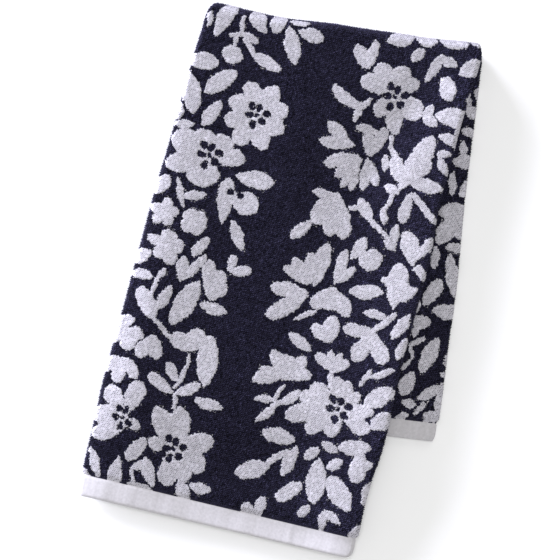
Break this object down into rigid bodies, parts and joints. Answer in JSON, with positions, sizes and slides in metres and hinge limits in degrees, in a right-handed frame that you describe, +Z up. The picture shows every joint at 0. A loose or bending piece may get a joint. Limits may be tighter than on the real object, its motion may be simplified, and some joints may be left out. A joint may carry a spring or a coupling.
{
  "type": "hand towel",
  "caption": "Terry hand towel with woven flowers and plain hems, its long sides turned under, folded across and lying flat.",
  "frame": {"origin": "middle of the footprint, on the surface that the towel lies on", "axes": "+Y along the front half from its hem to the fold, +X to the right across it, +Z up"},
  "size_m": [0.2694, 0.4358, 0.018],
  "materials": {
    "terry_cotton": "cut-free terry loops, dark blue ground with pale lavender flowers and plain woven hems"
  },
  "bodies": {
    "root": {"towel": "terry_cotton"}
  },
  "joints": []
}
